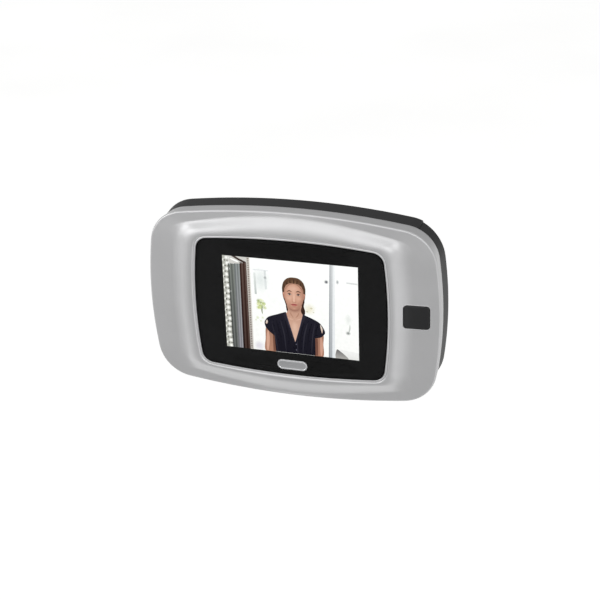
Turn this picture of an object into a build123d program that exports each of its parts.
"""Peephole door camera: an indoor monitor, its door plate and barrel, and the outdoor camera.

The origin is on the door, at the centre of the peephole. The monitor faces the room, along -Y,
and the camera sits on the other side of the door, along +Y. Lengths are in millimetres.
"""

import os
from math import atan2, degrees, sqrt

from build123d import *

os.makedirs("parts", exist_ok=True)

# Door and barrel
door_thickness = 40.0
barrel_radius = 7.0
barrel_wall = 0.95
barrel_length = 33.0
barrel_flange_radius = 11.0
barrel_flange_thickness = 1.6
spanner_slot_width = 2.4
spanner_slot_depth = 1.6
thread_clearance = 0.05

# Outline of the monitor
body_half_width = 62.5
body_half_height = 41.5
body_side_bulge = 3.8
body_end_bulge = 5.1
body_corner = 15.7
cover_corner = 18.5

# Outline of the window, whose borders are measured in from the body's outline
window_side_border = 21.2
window_end_border = 11.2
window_side_bulge = 2.0
window_end_bulge = 2.2
window_corner = 5.2

# Depths of the monitor, counted from the door into the room
door_gap = 0.6
rear_depth = 8.8
side_depth = 7.5
rim_drop = 2.5
seam_draft = 0.6
rim_round = 0.8
back_round = 1.5

# Walls
bezel_wall = 1.8
face_wall = 1.5
rear_wall = 1.6
tongue_length = 1.6
tongue_wall = 0.9
tongue_gap = 0.15

# Raised ring round the window, as reaches out from the window's edge and rises above the window
lip_width = 1.0
lip_rise = 0.25
groove_drop = 0.35
crest_reach = 3.6
crest_rise = 0.45
shoulder_reach = 6.2
shoulder_drop = 0.9
ring_reach = 9.8
ring_root = 1.0
foot_drop = 2.1

# Window and screen
lens_gap = 0.1
lens_thickness = 1.0
ledge_width = 1.8
ledge_thickness = 1.2
pocket_reach = 5.0
gasket_thickness = 0.2
gasket_width = 3.0
panel_side_inset = 6.7
panel_end_inset = 5.3
screen_side_border = 5.8
screen_end_border = 4.3
screen_lift = 0.5
panel_thickness = 1.3
backlight_depth = 1.9
backlight_wall = 0.8
screen_margin = 1.2

# Main board
board_end_inset = 7.1
board_left = 40.0
board_right = 22.0
board_thickness = 1.2
board_corner = 2.0
board_screw_inset_x = 4.0
board_screw_inset_z = 2.6
board_boss_radius = 2.1
board_screw_radius = 0.9
board_screw_head_radius = 1.9
board_screw_head_height = 1.1
board_screw_bite = 4.0
board_to_recess = 5.1
pad_length = 40.0
pad_width = 5.0
pad_end_inset = 7.0

# Door plate and the recess over it
plate_half_width = 21.0
plate_half_height = 27.0
plate_corner = 4.0
plate_thickness = 1.5
plate_bore_gap = 0.4
plate_screw_radius = 1.8
plate_screw_spacing = 40.0
recess_gap = 1.0
recess_top_gap = 0.6
recess_clearance = 1.1
lift_travel = 5.0
lift_margin = 0.8

# Hooks of the door plate
hook_thickness = 1.5
hook_inset = 0.9
hook_neck = 4.0
hook_tip = 3.0
hook_tip_depth = 1.4
hook_wall_gap = 0.3
hook_rest_gap = 0.15
hook_slot_gap = 0.4
upper_hook_height = 12.0
lower_hook_height = -20.0

# Batteries and their tray
cell_radius = 5.25
cell_length = 43.7
cell_nub_radius = 1.9
cell_nub_height = 0.8
cell_edge = 0.6
cell_gap = 0.15
cell_pitch = 10.8
cell_count = 3
cell_back_gap = 0.2
tray_half_length = 25.0
tray_wall = 0.8
tray_side_gap = 0.2
tray_end_room = 4.7
tray_lip_gap = 1.6
tray_saddle = 1.6
tray_post_radius = 1.5
contact_thickness = 0.4
contact_width = 7.0
contact_height = 7.0
contact_gap = 0.1
spring_wire = 0.28
spring_radius = 3.3
spring_tip_radius = 2.3
spring_half_turns = 7

# Battery cover
cover_seam_inset = 11.0
cover_gap = 0.15
cover_panel_wall = 1.2
cover_panel_half_height = 26.8
cover_rail = 1.2
cover_rail_wall = 0.8
cover_rail_gap = 0.2
grip_count = 5
grip_pitch = 1.8
grip_width = 0.9
grip_length = 16.0
grip_depth = 0.4
grip_inset = 7.0

# Button and its switch
button_inset = 9.85
button_z = 1.2
button_width = 10.6
button_height = 10.0
button_corner = 1.4
button_gap = 0.18
button_proud = 0.15
button_pocket_wall = 1.2
button_pocket_margin = 1.6
button_flange = 0.9
button_flange_thickness = 0.6
button_flange_gap = 0.1
switch_width = 5.2
switch_height = 0.9
switch_bore_floor = 0.3
plunger_radius = 1.2
plunger_gap = 0.05
plunger_bite = 0.4
button_board_width = 11.5
button_board_height = 12.0
button_board_thickness = 0.6

# Screws of the housings
boss_radius = 3.0
housing_screw_radius = 1.2
housing_screw_head_radius = 2.4
housing_screw_head_height = 1.7
housing_screw_bite = 4.5
housing_screw_seat = 3.0
screw_hole_gap = 0.3
pilot_gap = 0.02
slot_width = 0.6
slot_depth = 0.5
left_screw_side_inset = 8.5
left_screw_end_inset = 17.5
right_screw_side_inset = 17.0
right_screw_end_inset = 10.3

# Outdoor camera
shank_radius = 6.0
shank_start = 8.0
shank_bore = 4.5
head_radius = 13.0
head_edge = 1.2
head_height = 4.2
head_crown_radius = 8.0
head_bore = 4.9
head_bore_depth = 11.0
glass_radius = 5.6
glass_thickness = 0.9
glass_gap = 0.05
door_gasket_thickness = 0.8
door_gasket_inset = 0.6
sensor_board_thickness = 0.8
sensor_width = 5.0
sensor_thickness = 0.9
objective_radius = 4.8
objective_bore = 3.2
objective_length = 7.6
objective_step = 2.2
front_lens_thickness = 1.6
front_lens_bulge = 0.7
rear_lens_thickness = 1.4
rear_lens_bulge = 0.4
lens_fit = 0.02

# Flat cables
ribbon_width = 6.0
ribbon_thickness = 0.3
ribbon_bend = 2.2
ribbon_drop = 7.0
ribbon_window_gap = 1.5
connector_width = 9.0
connector_depth = 2.0
connector_height = 4.0
flex_width = 8.0
flex_thickness = 0.2

# Working values
overrun = 5.0
touch = 0.001

# Places worked out from the sizes above
window_half_width = body_half_width - window_side_border
window_half_height = body_half_height - window_end_border
panel_width = 2 * (window_half_width - panel_side_inset)
panel_height = 2 * (window_half_height - panel_end_inset)
pad_half_spacing = panel_height / 2 - pad_end_inset
screen_width = panel_width - 2 * screen_side_border
screen_height = panel_height - 2 * screen_end_border
board_half_height = body_half_height - board_end_inset
cover_seam = body_half_width - cover_seam_inset
button_x = body_half_width - button_inset
left_screw_x = body_half_width - left_screw_side_inset
left_screw_z = body_half_height - left_screw_end_inset
right_screw_x = body_half_width - right_screw_side_inset
right_screw_z = body_half_height - right_screw_end_inset
back_d = door_gap
seam_d = back_d + rear_depth
rim_d = seam_d + side_depth
window_d = rim_d + rim_drop
foot_d = window_d - foot_drop
face_d = rim_d - face_wall
roof_d = foot_d - face_wall
lens_d = window_d - lens_thickness
ledge_d = lens_d - ledge_thickness
panel_d = lens_d - gasket_thickness
backlight_d = panel_d - panel_thickness
screen_back_d = backlight_d - backlight_depth
plate_d = plate_thickness
recess_d = plate_d + barrel_flange_thickness + recess_clearance
recess_inner_d = recess_d + rear_wall
board_d = recess_inner_d + board_to_recess
board_front_d = board_d + board_thickness
cover_inner_d = back_d + cover_panel_wall
cell_d = cover_inner_d + cell_back_gap + cell_radius
tray_back_d = cell_d + cell_radius + cell_gap
tray_front_d = tray_back_d + tray_wall
tray_rim_d = cover_inner_d + tray_lip_gap

body_form = (body_half_width, body_half_height, body_side_bulge, body_end_bulge, body_corner)
cover_form = (body_half_width, body_half_height, body_side_bulge, body_end_bulge, cover_corner)
window_form = (
    window_half_width,
    window_half_height,
    window_side_bulge,
    window_end_bulge,
    window_corner,
)


def room(depth):
    """The plane at a depth from the door, facing the room: its x is X and its y is Z."""
    return Plane.XZ.offset(depth)


def draw_pillow(form, grow=0.0):
    """Four long arcs joined by corner arcs that touch them, from the middle of the right side."""
    half_width, half_height, side_bulge, end_bulge, corner = form
    side_radius = ((half_height - end_bulge) ** 2 + side_bulge**2) / (2 * side_bulge)
    end_radius = ((half_width - side_bulge) ** 2 + end_bulge**2) / (2 * end_bulge)
    side_x = half_width - side_radius
    end_z = half_height - end_radius
    between = Vector(-side_x, end_z)
    unit = between.normalized()
    side_reach = side_radius - corner
    end_reach = end_radius - corner
    along = (side_reach**2 - end_reach**2 + between.length**2) / (2 * between.length)
    across = sqrt(side_reach**2 - along**2)
    corner_x = side_x + unit.X * along - unit.Y * across
    corner_z = unit.Y * along + unit.X * across
    side_angle = degrees(atan2(corner_z, corner_x - side_x))
    end_angle = degrees(atan2(corner_x, corner_z - end_z))
    turn = 90 - side_angle - end_angle
    side_radius += grow
    end_radius += grow
    corner += grow
    CenterArc((side_x, 0), side_radius, 0, side_angle)
    CenterArc((corner_x, corner_z), corner, side_angle, turn)
    CenterArc((0, end_z), end_radius, 90 - end_angle, 2 * end_angle)
    CenterArc((-corner_x, corner_z), corner, 90 + end_angle, turn)
    CenterArc((-side_x, 0), side_radius, 180 - side_angle, 2 * side_angle)
    CenterArc((-corner_x, -corner_z), corner, 180 + side_angle, turn)
    CenterArc((0, -end_z), end_radius, 270 - end_angle, 2 * end_angle)
    CenterArc((corner_x, -corner_z), corner, 270 + end_angle, turn)
    CenterArc((side_x, 0), side_radius, -side_angle, side_angle)


def pillow_face(form, grow=0.0, mode=Mode.ADD):
    """Fill a pillow outline in the sketch that is being drawn."""
    with BuildLine() as outline:
        draw_pillow(form, grow)
    make_face(outline.edges(), mode=mode)


def finish(builder, name):
    """Label a finished piece and write it."""
    builder.part.label = name
    export_step(builder.part, f"parts/{name}.step")


# Outer form of the silver front: drafted side, crowned face and the raised ring
with BuildPart() as front_form:
    with BuildSketch(room(seam_d)):
        pillow_face(body_form, -seam_draft)
    with BuildSketch(room(rim_d)):
        pillow_face(body_form)
    loft(ruled=True)
    with BuildSketch(room(rim_d)):
        pillow_face(body_form)
    with BuildSketch(room(foot_d)):
        pillow_face(window_form, ring_reach)
    loft(ruled=True)
    rim_edges = front_form.edges().filter_by(
        lambda edge: abs(edge.center().Y + rim_d) < touch
    )
    fillet(rim_edges, rim_round)
    # The ring: one section, from the lip over the groove and crest to the foot, run round the window
    section_plane = Plane(
        origin=(window_half_width, -window_d, 0), x_dir=(1, 0, 0), z_dir=(0, 0, -1)
    )
    with BuildSketch(section_plane) as ring_section:
        with BuildLine():
            lip_foot = (lip_width, -groove_drop)
            crest = (crest_reach, crest_rise)
            shoulder = (shoulder_reach, -shoulder_drop)
            foot = (ring_reach, -foot_drop)
            root = -foot_drop - ring_root
            ThreePointArc((0, 0), (lip_width / 2, lip_rise), lip_foot)
            Spline(lip_foot, crest, shoulder, foot, tangents=[(1, 0.1), (1, 0), (1, -0.5), (1, -0.1)])
            Polyline(foot, (ring_reach, root), (0, root), (0, 0))
        make_face()
    with BuildLine(room(window_d)) as ring_path:
        draw_pillow(window_form)
    sweep(sections=ring_section.sketch, path=ring_path.wire())

# Silver front moulding: the outer form, hollowed, with its window opening and bosses
board_boss_places = [
    (x, z)
    for x in (-board_left + board_screw_inset_x, board_right - board_screw_inset_x)
    for z in (-board_half_height + board_screw_inset_z, board_half_height - board_screw_inset_z)
]
housing_boss_places = [
    (x, z)
    for x, z_reach in ((-left_screw_x, left_screw_z), (right_screw_x, right_screw_z))
    for z in (-z_reach, z_reach)
]
tray_right = body_half_width - tray_end_room
cell_end = tray_right - tray_wall - cell_gap - cell_radius
cell_places = [cell_end - i * cell_pitch for i in reversed(range(cell_count))]
tray_left = cell_places[0] - cell_radius - cell_gap - tray_wall
inner_post_x = window_half_width + tray_post_radius / 2
outer_post_x = tray_right - 2 * tray_post_radius
button_pocket_d = rim_d + rim_drop / 4 - button_pocket_wall

with BuildPart() as front_bezel:
    add(front_form.part)
    with BuildSketch(room(seam_d)):
        pillow_face(body_form, -seam_draft - bezel_wall)
    extrude(amount=face_d - seam_d, mode=Mode.SUBTRACT)
    with BuildSketch(room(face_d)):
        pillow_face(body_form, -seam_draft - bezel_wall)
    with BuildSketch(room(roof_d)):
        pillow_face(window_form, ring_reach - face_wall)
    loft(ruled=True, mode=Mode.SUBTRACT)
    with BuildSketch(room(face_d)):
        pillow_face(window_form, pocket_reach)
    extrude(amount=ledge_d - face_d, mode=Mode.SUBTRACT)
    with BuildSketch(room(ledge_d)):
        pillow_face(window_form, -ledge_width)
    extrude(amount=lens_thickness + ledge_thickness + overrun, mode=Mode.SUBTRACT)
    with BuildSketch(room(lens_d)):
        pillow_face(window_form)
    extrude(amount=lens_thickness + overrun, mode=Mode.SUBTRACT)
    # Bosses for the board, the housing screws and the battery tray
    with BuildSketch(room(board_front_d)):
        with Locations(*board_boss_places):
            Circle(board_boss_radius)
    extrude(amount=ledge_d + ledge_thickness / 2 - board_front_d)
    with BuildSketch(room(seam_d)):
        with Locations(*housing_boss_places):
            Circle(boss_radius)
    extrude(amount=roof_d - seam_d + face_wall / 2)
    with BuildSketch(room(tray_front_d)):
        with GridLocations(0, 2 * tray_half_length - 2 * tray_post_radius, 1, 2):
            with Locations((inner_post_x, 0)):
                Circle(tray_post_radius)
    extrude(amount=ledge_d + ledge_thickness / 2 - tray_front_d)
    with BuildSketch(room(tray_front_d)):
        with GridLocations(0, tray_half_length * 4 / 3, 1, 2):
            with Locations((outer_post_x, 0)):
                Circle(tray_post_radius)
    extrude(amount=roof_d - tray_front_d + face_wall / 2)
    # Pilot holes of the screws
    with BuildSketch(room(board_front_d)):
        with Locations(*board_boss_places):
            Circle(board_screw_radius + pilot_gap)
    extrude(amount=board_screw_bite, mode=Mode.SUBTRACT)
    with BuildSketch(room(seam_d)):
        with Locations(*housing_boss_places):
            Circle(housing_screw_radius + pilot_gap)
    extrude(amount=housing_screw_bite + pilot_gap, mode=Mode.SUBTRACT)
    # Opening and thinned wall for the button
    with BuildSketch(room(face_d)):
        with Locations((button_x, button_z)):
            RectangleRounded(
                button_width + 2 * (button_flange + button_pocket_margin),
                button_height + 2 * (button_flange + button_pocket_margin),
                button_corner + button_flange,
            )
    extrude(amount=button_pocket_d - face_d, mode=Mode.SUBTRACT)
    with BuildSketch(room(face_d)):
        with Locations((button_x, button_z)):
            RectangleRounded(
                button_width + 2 * button_gap,
                button_height + 2 * button_gap,
                button_corner + button_gap,
            )
    extrude(amount=window_d - face_d + overrun, mode=Mode.SUBTRACT)
finish(front_bezel, "front_bezel")

# Clear window, black round the screen
with BuildPart() as display_window:
    with BuildSketch(room(lens_d)):
        pillow_face(window_form, -lens_gap)
    extrude(amount=lens_thickness)
finish(display_window, "display_window")

# Adhesive frame between the window and the screen
with BuildPart() as window_gasket:
    with BuildSketch(room(panel_d)):
        with Locations((0, screen_lift)):
            Rectangle(screen_width + 2 * gasket_width, screen_height + 2 * gasket_width)
            Rectangle(
                screen_width + 2 * screen_margin,
                screen_height + 2 * screen_margin,
                mode=Mode.SUBTRACT,
            )
    extrude(amount=gasket_thickness)
finish(window_gasket, "window_gasket")

# Screen glass
with BuildPart() as lcd_panel:
    with BuildSketch(room(backlight_d)):
        with Locations((0, screen_lift)):
            Rectangle(panel_width - 2 * backlight_wall, panel_height - 2 * backlight_wall)
    extrude(amount=panel_thickness)
finish(lcd_panel, "lcd_panel")

# Backlight tub that the screen glass lies in
with BuildPart() as backlight_frame:
    with BuildSketch(room(screen_back_d)):
        with Locations((0, screen_lift)):
            RectangleRounded(panel_width, panel_height, backlight_wall)
    extrude(amount=backlight_depth + panel_thickness - gasket_thickness)
    with BuildSketch(room(backlight_d)):
        with Locations((0, screen_lift)):
            Rectangle(panel_width - 2 * backlight_wall, panel_height - 2 * backlight_wall)
    extrude(amount=panel_thickness, mode=Mode.SUBTRACT)
finish(backlight_frame, "backlight_frame")

# Foam strips between the screen and the board
pad_thickness = screen_back_d - board_front_d
with BuildPart() as foam_pads:
    with BuildSketch(room(board_front_d)):
        with Locations(
            ((board_right - board_left) / 2, pad_half_spacing),
            ((board_right - board_left) / 2, -pad_half_spacing),
        ):
            Rectangle(pad_length, pad_width)
    extrude(amount=pad_thickness)
finish(foam_pads, "foam_pads")

# Main board
with BuildPart() as main_board:
    with BuildSketch(room(board_d)):
        with Locations(((board_right - board_left) / 2, 0)):
            RectangleRounded(board_left + board_right, 2 * board_half_height, board_corner)
        with Locations(*board_boss_places):
            Circle(board_screw_radius + screw_hole_gap, mode=Mode.SUBTRACT)
    extrude(amount=board_thickness)
finish(main_board, "main_board")

# Screws of the main board
with BuildPart() as board_screws:
    with BuildSketch(room(board_d)):
        with Locations(*board_boss_places):
            Circle(board_screw_radius)
    extrude(amount=board_thickness + board_screw_bite - slot_depth)
    with BuildSketch(room(board_d)):
        with Locations(*board_boss_places):
            Circle(board_screw_head_radius)
    extrude(amount=-board_screw_head_height)
    with BuildSketch(room(board_d - board_screw_head_height)):
        with Locations(*board_boss_places):
            Rectangle(board_screw_head_radius, slot_width)
            Rectangle(slot_width, board_screw_head_radius)
    extrude(amount=slot_depth, mode=Mode.SUBTRACT)
finish(board_screws, "board_screws")

# Parts soldered on the back of the main board: processor, memory, coil, capacitors and socket
chip_height = 1.2
processor_width = 11.0
memory_width = 6.0
memory_length = 11.0
coil_width = 5.0
coil_height = 2.6
capacitor_radius = 2.0
capacitor_height = 3.0
with BuildPart() as main_chips:
    with BuildSketch(room(board_d)):
        with Locations((-board_left * 3 / 4, board_half_height / 3)):
            Rectangle(processor_width, processor_width)
        with Locations((-board_left * 3 / 4, -board_half_height / 6)):
            Rectangle(memory_width, memory_length)
    extrude(amount=-chip_height)
    with BuildSketch(room(board_d)):
        with Locations((board_right / 2, -board_half_height * 3 / 4)):
            RectangleRounded(coil_width, coil_width, coil_width / 5)
    extrude(amount=-coil_height)
    with BuildSketch(room(board_d)):
        with Locations((0, -board_half_height * 3 / 4), (-board_left / 4, -board_half_height * 3 / 4)):
            Circle(capacitor_radius)
    extrude(amount=-capacitor_height)
finish(main_chips, "main_chips")

# Ribbon cable from the sensor, through the barrel, down into its socket on the board
head_seat_y = door_thickness + door_gasket_thickness
head_front_y = head_seat_y + head_height
glass_y = head_front_y - glass_thickness
sensor_seat_y = glass_y - head_bore_depth
ribbon_turn_d = board_d - connector_depth / 2
with BuildPart() as ribbon_cable:
    with BuildSketch(Plane.YZ.offset(-ribbon_width / 2)):
        with BuildLine():
            FilletPolyline(
                (sensor_seat_y, 0),
                (-ribbon_turn_d, 0),
                (-ribbon_turn_d, -ribbon_drop),
                radius=ribbon_bend,
            )
        trace(line_width=ribbon_thickness)
    extrude(amount=ribbon_width)
finish(ribbon_cable, "ribbon_cable")

# Socket of the ribbon cable
with BuildPart() as ribbon_connector:
    with BuildSketch(room(board_d)):
        with Locations((0, -ribbon_drop - connector_height / 2)):
            Rectangle(connector_width, connector_height)
    extrude(amount=-connector_depth)
finish(ribbon_connector, "ribbon_connector")

# Flat cable from the foot of the screen, folded back onto the front of the board
flex_foot = screen_lift - panel_height / 2 - flex_thickness
with BuildPart() as display_flex:
    with BuildSketch(Plane.YZ.offset(-board_left / 4 - flex_width / 2)):
        with BuildLine():
            FilletPolyline(
                (-panel_d + flex_thickness, flex_foot),
                (-board_front_d - flex_thickness / 2, flex_foot),
                (-board_front_d - flex_thickness / 2, flex_foot + flex_width / 2),
                radius=2 * flex_thickness,
            )
        trace(line_width=flex_thickness)
    extrude(amount=flex_width)
finish(display_flex, "display_flex")

# Battery tray
with BuildPart() as battery_tray:
    tray_middle = (tray_left + tray_right) / 2
    tray_length = 2 * (tray_half_length + tray_wall)
    tray_inset = -seam_draft - rear_wall - tray_side_gap
    with BuildSketch(room(tray_rim_d)) as tray_outline:
        with Locations((tray_middle, 0)):
            Rectangle(tray_right - tray_left, tray_length)
        pillow_face(cover_form, tray_inset, mode=Mode.INTERSECT)
    extrude(amount=tray_front_d - tray_rim_d)
    with BuildSketch(room(tray_rim_d)):
        with Locations((tray_middle, 0)):
            Rectangle(tray_right - tray_left - 2 * tray_wall, 2 * tray_half_length)
        pillow_face(cover_form, tray_inset - tray_wall, mode=Mode.INTERSECT)
    extrude(amount=tray_back_d - tray_rim_d, mode=Mode.SUBTRACT)
    with BuildSketch(Plane.XY.offset(-tray_half_length)):
        for x in cell_places[:-1]:
            with Locations((x + cell_pitch / 2, -tray_back_d + tray_saddle / 2)):
                Rectangle(cell_pitch / 2, tray_saddle)
        with Locations(*[(x, -cell_d) for x in cell_places]):
            Circle(cell_radius + cell_gap, mode=Mode.SUBTRACT)
    extrude(amount=2 * tray_half_length)
finish(battery_tray, "battery_tray")

# Battery cells, laid head to tail
cell_top = tray_half_length - contact_thickness - contact_gap
for i, x in enumerate(cell_places):
    way = 1 if i % 2 == 0 else -1
    with BuildPart() as cell:
        cell_plane = Plane(
            origin=(x, -cell_d, way * cell_top), x_dir=(1, 0, 0), z_dir=(0, 0, -way)
        )
        with BuildSketch(cell_plane):
            Circle(cell_nub_radius)
        extrude(amount=cell_nub_height)
        with BuildSketch(cell_plane.offset(cell_nub_height)):
            Circle(cell_radius)
        extrude(amount=cell_length)
        fillet(
            cell.edges().filter_by(
                lambda edge: edge.geom_type == GeomType.CIRCLE
                and abs(edge.radius - cell_radius) < touch
            ),
            cell_edge,
        )
    finish(cell, f"battery_cell_{i + 1}")

# Contact plates at both ends of each cell, joined in pairs
with BuildPart() as contact_plates:
    for end in (-1, 1):
        contact_plane = Plane(
            origin=(0, -cell_d, end * tray_half_length), x_dir=(1, 0, 0), z_dir=(0, 0, -end)
        )
        with BuildSketch(contact_plane):
            with Locations(*[(x, 0) for x in cell_places]):
                Rectangle(contact_width, contact_height)
            first = cell_places[0] if end < 0 else cell_places[1]
            with Locations((first + cell_pitch / 2, 0)):
                Rectangle(cell_pitch, contact_height / 2)
        extrude(amount=contact_thickness)
finish(contact_plates, "contact_plates")

# Conical springs at the flat end of each cell, copies of one that is coiled at the origin
spring_room = 2 * tray_half_length - 2 * contact_thickness - contact_gap
spring_height = spring_room - cell_length - cell_nub_height - 2 * contact_gap
coil_rise = spring_height - 2 * spring_wire
spring_foot = tray_half_length - contact_thickness - contact_gap - spring_wire
with BuildPart() as spring:
    with BuildLine() as coil:
        for i in range(spring_half_turns):
            side = 1 if i % 2 == 0 else -1
            start_share = i / spring_half_turns
            end_share = (i + 1) / spring_half_turns
            start_radius = spring_radius + (spring_tip_radius - spring_radius) * start_share
            end_radius = spring_radius + (spring_tip_radius - spring_radius) * end_share
            low = coil_rise * start_share
            high = coil_rise * end_share
            reach = sqrt((start_radius + end_radius) ** 2 + (high - low) ** 2) / 2
            ThreePointArc(
                (side * start_radius, 0, low),
                (side * (start_radius - end_radius) / 2, side * reach, (low + high) / 2),
                (-side * end_radius, 0, high),
            )
    with BuildSketch(Plane(origin=coil.wire() @ 0, z_dir=coil.wire() % 0)):
        Circle(spring_wire)
    sweep(path=coil.wire())
with BuildPart() as contact_springs:
    for i, x in enumerate(cell_places):
        way = 1 if i % 2 == 0 else -1
        with Locations(Location((x, -cell_d, -way * spring_foot), (90 - 90 * way, 0, 0))):
            add(spring.part)
finish(contact_springs, "contact_springs")

# Button: its face follows the silver front, with a flange behind the wall
flange_d = button_pocket_d - button_flange_gap
with BuildPart() as front_button:
    add(front_form.part.moved(Location((0, -button_proud, 0))))
    with BuildSketch(room(flange_d - button_flange_thickness)):
        with Locations((button_x, button_z)):
            RectangleRounded(button_width, button_height, button_corner)
    extrude(amount=window_d - flange_d + overrun, mode=Mode.INTERSECT)
    with BuildSketch(room(flange_d - button_flange_thickness)):
        with Locations((button_x, button_z)):
            RectangleRounded(
                button_width + 2 * button_flange,
                button_height + 2 * button_flange,
                button_corner + button_flange,
            )
    extrude(amount=button_flange_thickness)
finish(front_button, "front_button")

# Switch under the button
button_board_d = tray_front_d
switch_d = button_board_d + button_board_thickness
switch_front_d = switch_d + switch_height
with BuildPart() as button_board:
    with BuildSketch(room(button_board_d)):
        with Locations((button_x, button_z)):
            Rectangle(button_board_width, button_board_height)
    extrude(amount=button_board_thickness)
finish(button_board, "button_board")

with BuildPart() as switch_body:
    with BuildSketch(room(switch_d)):
        with Locations((button_x, button_z)):
            RectangleRounded(switch_width, switch_width, switch_width / 8)
    extrude(amount=switch_height)
    with BuildSketch(room(switch_d + switch_bore_floor - plunger_gap)):
        with Locations((button_x, button_z)):
            Circle(plunger_radius + plunger_gap)
    extrude(amount=switch_height, mode=Mode.SUBTRACT)
finish(switch_body, "switch_body")

plunger_back_d = switch_front_d - (switch_height - switch_bore_floor - plunger_bite) / 2
with BuildPart() as switch_plunger:
    with BuildSketch(room(plunger_back_d)):
        with Locations((button_x, button_z)):
            Circle(plunger_radius)
    extrude(amount=flange_d - button_flange_thickness - plunger_back_d)
finish(switch_plunger, "switch_plunger")

# Flat cable from the switch board to the main board
with BuildPart() as button_flex:
    flex_end = board_right - board_screw_inset_x
    flex_start = button_x - button_board_width / 2
    with BuildSketch(Plane.XY.offset(button_z - flex_width / 2)):
        with BuildLine():
            FilletPolyline(
                (flex_end, -board_front_d - flex_thickness / 2),
                (board_right - flex_width / 5, -board_front_d - flex_thickness / 2),
                (board_right + flex_thickness, -tray_front_d - flex_thickness / 2),
                (flex_start, -tray_front_d - flex_thickness / 2),
                radius=2 * flex_thickness,
            )
        trace(line_width=flex_thickness)
    extrude(amount=flex_width)
finish(button_flex, "button_flex")

# Dark rear housing, with the recess for the door plate and the opening of the battery bay
recess_half_width = plate_half_width + recess_gap
recess_top = plate_half_height + recess_top_gap
recess_bottom = -plate_half_height - lift_travel - lift_margin
hook_x = plate_half_width - hook_inset - hook_thickness / 2
with BuildPart() as rear_housing:
    with BuildSketch(room(back_d)):
        pillow_face(body_form)
    with BuildSketch(room(seam_d)):
        pillow_face(body_form, -seam_draft)
    loft(ruled=True)
    fillet(
        rear_housing.edges().filter_by(lambda edge: abs(edge.center().Y + back_d) < touch),
        back_round,
    )
    with BuildSketch(room(back_d + rear_wall)):
        pillow_face(body_form, -rear_wall)
    with BuildSketch(room(seam_d)):
        pillow_face(body_form, -seam_draft - rear_wall)
    loft(ruled=True, mode=Mode.SUBTRACT)
    # Walls of the recess
    with BuildSketch(room(back_d)):
        with Locations((0, (recess_top + recess_bottom) / 2)):
            Rectangle(
                2 * (recess_half_width + rear_wall),
                recess_top - recess_bottom + 2 * rear_wall,
            )
    extrude(amount=recess_inner_d - back_d)
    with BuildSketch(room(back_d - overrun)):
        with Locations((0, (recess_top + recess_bottom) / 2)):
            Rectangle(2 * recess_half_width, recess_top - recess_bottom)
    extrude(amount=recess_d - back_d + overrun, mode=Mode.SUBTRACT)
    # Slots that the hooks pass through
    with BuildSketch(room(recess_d - touch)):
        for height in (upper_hook_height, lower_hook_height):
            slot_top = height + hook_neck + hook_rest_gap
            slot_bottom = height - lift_travel - hook_slot_gap
            with Locations(
                (-hook_x, (slot_top + slot_bottom) / 2), (hook_x, (slot_top + slot_bottom) / 2)
            ):
                Rectangle(hook_thickness + 2 * hook_slot_gap, slot_top - slot_bottom)
    extrude(amount=rear_wall + 2 * touch, mode=Mode.SUBTRACT)
    # Window that the ribbon cable comes through
    ribbon_window_bottom = -ribbon_drop - connector_height
    ribbon_window_top = ribbon_width / 2 + ribbon_window_gap
    with BuildSketch(room(recess_d - touch)):
        with Locations((0, (ribbon_window_top + ribbon_window_bottom) / 2)):
            RectangleRounded(
                connector_width + 2 * ribbon_window_gap,
                ribbon_window_top - ribbon_window_bottom,
                ribbon_window_gap,
            )
    extrude(amount=rear_wall + 2 * touch, mode=Mode.SUBTRACT)
    # Screw pillars
    with BuildSketch(room(back_d)):
        with Locations(*housing_boss_places):
            Circle(boss_radius)
    extrude(amount=rear_depth)
    with BuildSketch(room(back_d - overrun)):
        with Locations(*housing_boss_places):
            Circle(housing_screw_radius + screw_hole_gap)
    extrude(amount=rear_depth + 2 * overrun, mode=Mode.SUBTRACT)
    with BuildSketch(room(back_d - overrun)):
        with Locations(*housing_boss_places):
            Circle(housing_screw_head_radius + screw_hole_gap)
    extrude(amount=rear_depth - housing_screw_seat + overrun, mode=Mode.SUBTRACT)
    # Battery opening and the open end under the cover
    panel_left = recess_half_width + rear_wall + cover_gap
    with BuildSketch(room(back_d - overrun)):
        with Locations(((panel_left + cover_seam) / 2, 0)):
            Rectangle(cover_seam - panel_left, 2 * cover_panel_half_height)
    extrude(amount=rear_wall + overrun + touch, mode=Mode.SUBTRACT)
    split(bisect_by=Plane.YZ.offset(cover_seam), keep=Keep.BOTTOM)
    # Tongue that locates the housing inside the silver front, standing on a step in the wall
    tongue_inset = -seam_draft - bezel_wall - tongue_gap
    for start_d, outer_inset in (
        (seam_d - tongue_length, -seam_draft - rear_wall / 2),
        (seam_d, tongue_inset),
    ):
        with BuildSketch(room(start_d)):
            pillow_face(body_form, outer_inset)
            pillow_face(body_form, tongue_inset - tongue_wall, mode=Mode.SUBTRACT)
            with Locations((cover_seam - overrun / 2 - body_half_width, 0)):
                Rectangle(2 * body_half_width, 2 * body_half_height, mode=Mode.INTERSECT)
        extrude(amount=tongue_length)
finish(rear_housing, "rear_housing")

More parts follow.
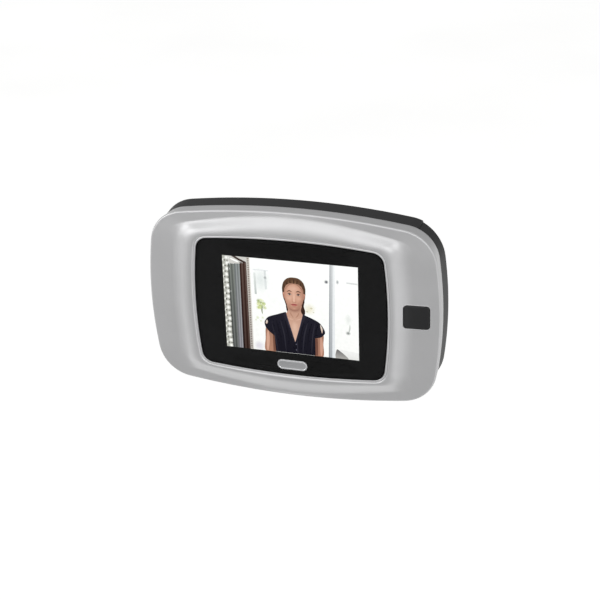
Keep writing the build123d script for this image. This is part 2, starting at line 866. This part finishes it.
# Screws of the housings
with BuildPart() as housing_screws:
    screw_seat_d = seam_d - housing_screw_seat
    with BuildSketch(room(screw_seat_d)):
        with Locations(*housing_boss_places):
            Circle(housing_screw_radius)
    extrude(amount=housing_screw_seat + housing_screw_bite)
    with BuildSketch(room(screw_seat_d)):
        with Locations(*housing_boss_places):
            Circle(housing_screw_head_radius)
    extrude(amount=-housing_screw_head_height)
    with BuildSketch(room(screw_seat_d - housing_screw_head_height)):
        with Locations(*housing_boss_places):
            Rectangle(housing_screw_head_radius, slot_width)
            Rectangle(slot_width, housing_screw_head_radius)
    extrude(amount=slot_depth, mode=Mode.SUBTRACT)
finish(housing_screws, "housing_screws")

# Battery cover: the dark end of the housing with a panel that slides under its rails
with BuildPart() as battery_cover:
    with BuildSketch(room(back_d)):
        pillow_face(cover_form)
    with BuildSketch(room(seam_d - cover_gap)):
        pillow_face(cover_form, -seam_draft)
    loft(ruled=True)
    fillet(
        battery_cover.edges().filter_by(lambda edge: abs(edge.center().Y + back_d) < touch),
        back_round,
    )
    with BuildSketch(room(cover_inner_d)):
        pillow_face(cover_form, -rear_wall)
    with BuildSketch(room(seam_d)):
        pillow_face(cover_form, -seam_draft - rear_wall)
    loft(ruled=True, mode=Mode.SUBTRACT)
    split(bisect_by=Plane.YZ.offset(cover_seam + cover_gap), keep=Keep.TOP)
    panel_start = panel_left + cover_gap
    panel_half = cover_panel_half_height - cover_gap
    with BuildSketch(room(back_d)):
        with Locations(((panel_start + cover_seam + rear_wall) / 2, 0)):
            Rectangle(cover_seam + rear_wall - panel_start, 2 * panel_half)
    extrude(amount=cover_panel_wall)
    # Grooves for the thumb that pushes the cover off
    with BuildSketch(room(back_d)):
        with Locations((cover_seam - grip_inset, 0)):
            with GridLocations(grip_pitch, 0, grip_count, 1):
                SlotOverall(grip_length, grip_width, rotation=90)
    extrude(amount=grip_depth, mode=Mode.SUBTRACT)
    # Rails that run behind the edges of the battery opening
    rail_d = back_d + rear_wall + cover_rail_gap
    with BuildSketch(room(back_d + cover_panel_wall)):
        for side in (-1, 1):
            with Locations(((panel_start + cover_seam) / 2, side * (panel_half - cover_rail_wall / 2))):
                Rectangle(cover_seam - panel_start, cover_rail_wall)
    extrude(amount=rail_d + cover_rail_wall - cover_inner_d)
    with BuildSketch(room(rail_d)):
        for side in (-1, 1):
            with Locations(((panel_start + cover_seam) / 2, side * (panel_half + cover_rail / 2))):
                Rectangle(cover_seam - panel_start, cover_rail)
    extrude(amount=cover_rail_wall)
finish(battery_cover, "battery_cover")

# Door plate with its four hooks
with BuildPart() as mounting_plate:
    with BuildSketch(room(0)):
        RectangleRounded(2 * plate_half_width, 2 * plate_half_height, plate_corner)
        Circle(barrel_radius + plate_bore_gap, mode=Mode.SUBTRACT)
        with GridLocations(0, plate_screw_spacing, 1, 2):
            Circle(plate_screw_radius, mode=Mode.SUBTRACT)
    extrude(amount=plate_thickness)
    hook_reach_d = recess_inner_d + hook_wall_gap + hook_tip_depth
    for side in (-1, 1):
        with BuildSketch(Plane.YZ.offset(side * hook_x - hook_thickness / 2)):
            for height in (upper_hook_height, lower_hook_height):
                with BuildLine():
                    Polyline(
                        (-plate_d + touch, height),
                        (-hook_reach_d, height),
                        (-hook_reach_d, height + hook_neck + hook_tip),
                        (-recess_inner_d - hook_wall_gap, height + hook_neck + hook_tip),
                        (-recess_inner_d - hook_wall_gap, height + hook_neck),
                        (-plate_d + touch, height + hook_neck),
                        close=True,
                    )
                make_face()
        extrude(amount=hook_thickness)
finish(mounting_plate, "mounting_plate")

# Barrel sleeve: it turns on the camera's shank and clamps the plate
with BuildPart() as barrel_sleeve:
    with BuildSketch(room(plate_d)):
        Circle(barrel_flange_radius)
    extrude(amount=barrel_flange_thickness)
    with BuildSketch(room(plate_d)):
        Circle(barrel_radius)
    extrude(amount=-plate_d - barrel_length)
    with BuildSketch(room(plate_d + barrel_flange_thickness)):
        Circle(shank_radius + thread_clearance)
    extrude(amount=-plate_d - barrel_flange_thickness - barrel_length, mode=Mode.SUBTRACT)
    with BuildSketch(room(plate_d + barrel_flange_thickness)):
        with PolarLocations(barrel_flange_radius, 4):
            Rectangle(2 * spanner_slot_depth, spanner_slot_width)
    extrude(amount=-barrel_flange_thickness, mode=Mode.SUBTRACT)
finish(barrel_sleeve, "barrel_sleeve")

# Outdoor camera housing: shank, flange and crowned head, turned about the barrel's axis
with BuildPart() as camera_housing:
    with BuildSketch(Plane.XY):
        with BuildLine():
            Polyline(
                (shank_bore, shank_start),
                (shank_radius, shank_start),
                (shank_radius, head_seat_y),
                (head_radius, head_seat_y),
                (head_radius, head_seat_y + head_edge),
            )
            Spline(
                (head_radius, head_seat_y + head_edge),
                (head_crown_radius, head_front_y),
                tangents=[(0, 1), (-1, 0.1)],
            )
            Polyline(
                (head_crown_radius, head_front_y),
                (glass_radius + glass_gap, head_front_y),
                (glass_radius + glass_gap, glass_y),
                (head_bore, glass_y),
                (head_bore, sensor_seat_y),
                (shank_bore, sensor_seat_y),
                (shank_bore, shank_start),
            )
        make_face()
    revolve(axis=Axis.Y)
finish(camera_housing, "camera_housing")


def turned(name, points):
    """A ring or disc turned about the barrel's axis from its half profile."""
    with BuildPart() as ring:
        with BuildSketch(Plane.XY):
            with BuildLine():
                Polyline(*points, close=True)
            make_face()
        revolve(axis=Axis.Y)
    finish(ring, name)


# Gasket between the head and the outside of the door
gasket_inner = barrel_radius + plate_bore_gap
gasket_outer = head_radius - door_gasket_inset
turned(
    "door_gasket",
    [
        (gasket_inner, door_thickness),
        (gasket_outer, door_thickness),
        (gasket_outer, head_seat_y),
        (gasket_inner, head_seat_y),
    ],
)

# Cover glass in its seat
turned(
    "cover_glass",
    [(0, glass_y), (glass_radius, glass_y), (glass_radius, head_front_y), (0, head_front_y)],
)

# Sensor board and sensor at the bottom of the head
sensor_y = sensor_seat_y + sensor_board_thickness
turned(
    "sensor_board",
    [
        (0, sensor_seat_y),
        (head_bore - glass_gap, sensor_seat_y),
        (head_bore - glass_gap, sensor_y),
        (0, sensor_y),
    ],
)
with BuildPart() as image_sensor:
    with BuildSketch(room(-sensor_y)):
        Rectangle(sensor_width, sensor_width)
    extrude(amount=-sensor_thickness)
finish(image_sensor, "image_sensor")

# Lens barrel standing on the sensor board, with its two lenses
objective_top = sensor_y + objective_length
front_seat_y = objective_top - objective_step
rear_seat_y = sensor_y + sensor_thickness + rear_lens_thickness
front_bore = (objective_radius + objective_bore) / 2
sensor_bore = sensor_width * sqrt(2) / 2 + glass_gap
turned(
    "lens_barrel",
    [
        (sensor_bore, sensor_y),
        (objective_radius, sensor_y),
        (objective_radius, objective_top),
        (front_bore, objective_top),
        (front_bore, front_seat_y),
        (objective_bore, front_seat_y),
        (objective_bore, rear_seat_y - rear_lens_thickness / 2),
        (sensor_bore, rear_seat_y - rear_lens_thickness / 2),
    ],
)

for lens_name, lens_radius, lens_base_y, lens_thick, lens_bulge in (
    ("front_lens", front_bore, front_seat_y, front_lens_thickness, front_lens_bulge),
    ("rear_lens", objective_bore, rear_seat_y, rear_lens_thickness, rear_lens_bulge),
):
    with BuildPart() as lens:
        with BuildSketch(Plane.XY):
            lens_edge = lens_radius - lens_fit
            lens_flat = lens_thick - lens_bulge
            with BuildLine():
                Polyline(
                    (0, lens_base_y + lens_thick),
                    (0, lens_base_y),
                    (lens_edge, lens_base_y),
                    (lens_edge, lens_base_y + lens_flat),
                )
                TangentArc(
                    (0, lens_base_y + lens_thick),
                    (lens_edge, lens_base_y + lens_flat),
                    tangent=(1, 0),
                )
            make_face()
        revolve(axis=Axis.Y)
    finish(lens, lens_name)
